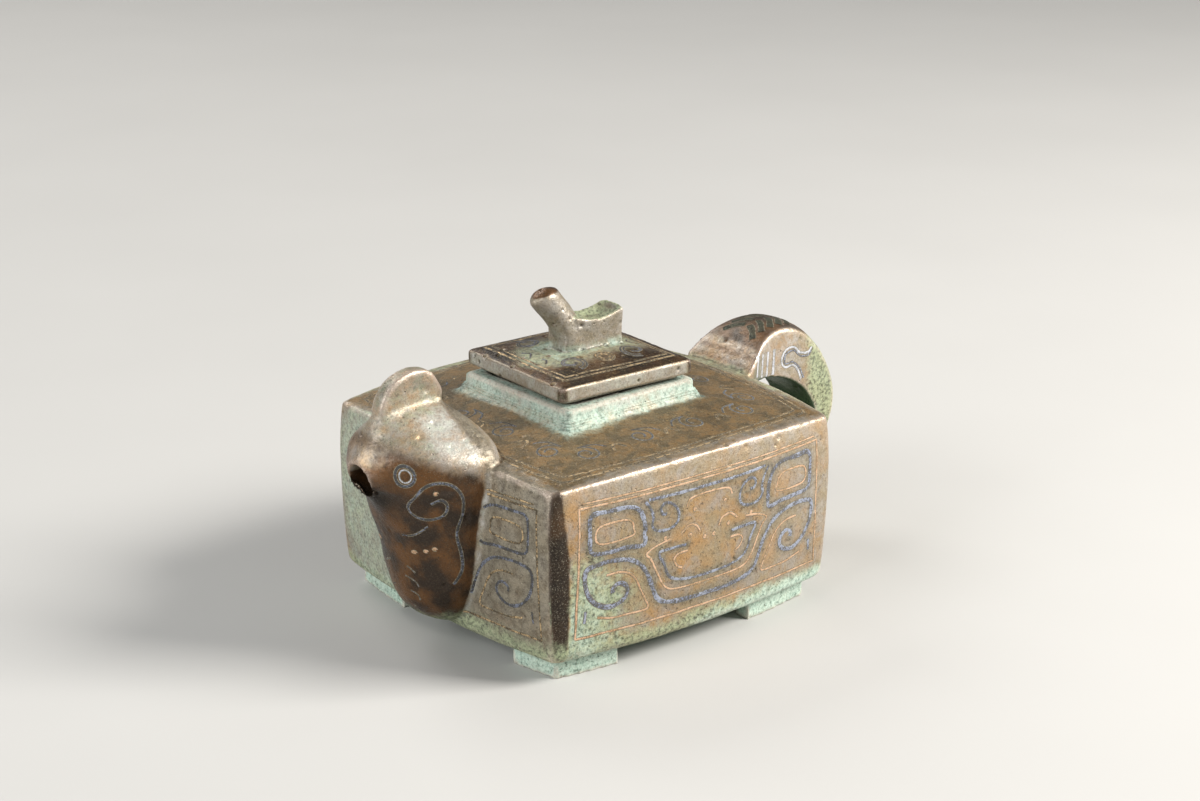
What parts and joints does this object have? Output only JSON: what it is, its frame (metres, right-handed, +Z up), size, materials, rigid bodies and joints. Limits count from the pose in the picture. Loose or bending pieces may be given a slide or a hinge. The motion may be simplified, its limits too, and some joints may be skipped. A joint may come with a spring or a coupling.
{
  "type": "inlaid bronze water dropper",
  "caption": "Small square bronze water dropper with a bird-headed spout, loop handle, bracket feet and a lift-off lid with a bird knob.",
  "frame": {"origin": "on the ground under the middle of the whole object, spout and handle included", "axes": "+Z up, +X towards the handle, -X towards the spout, +Y across the object"},
  "size_m": [0.1266, 0.0772, 0.0659],
  "materials": {
    "vessel_bronze": "aged bronze with green-grey patina and flush silver and gold wire inlay",
    "lid_bronze": "aged bronze, rubbed at the edges, with flush silver and gold wire inlay"
  },
  "bodies": {
    "root": {"vessel": "vessel_bronze", "lid": "lid_bronze"}
  },
  "joints": []
}
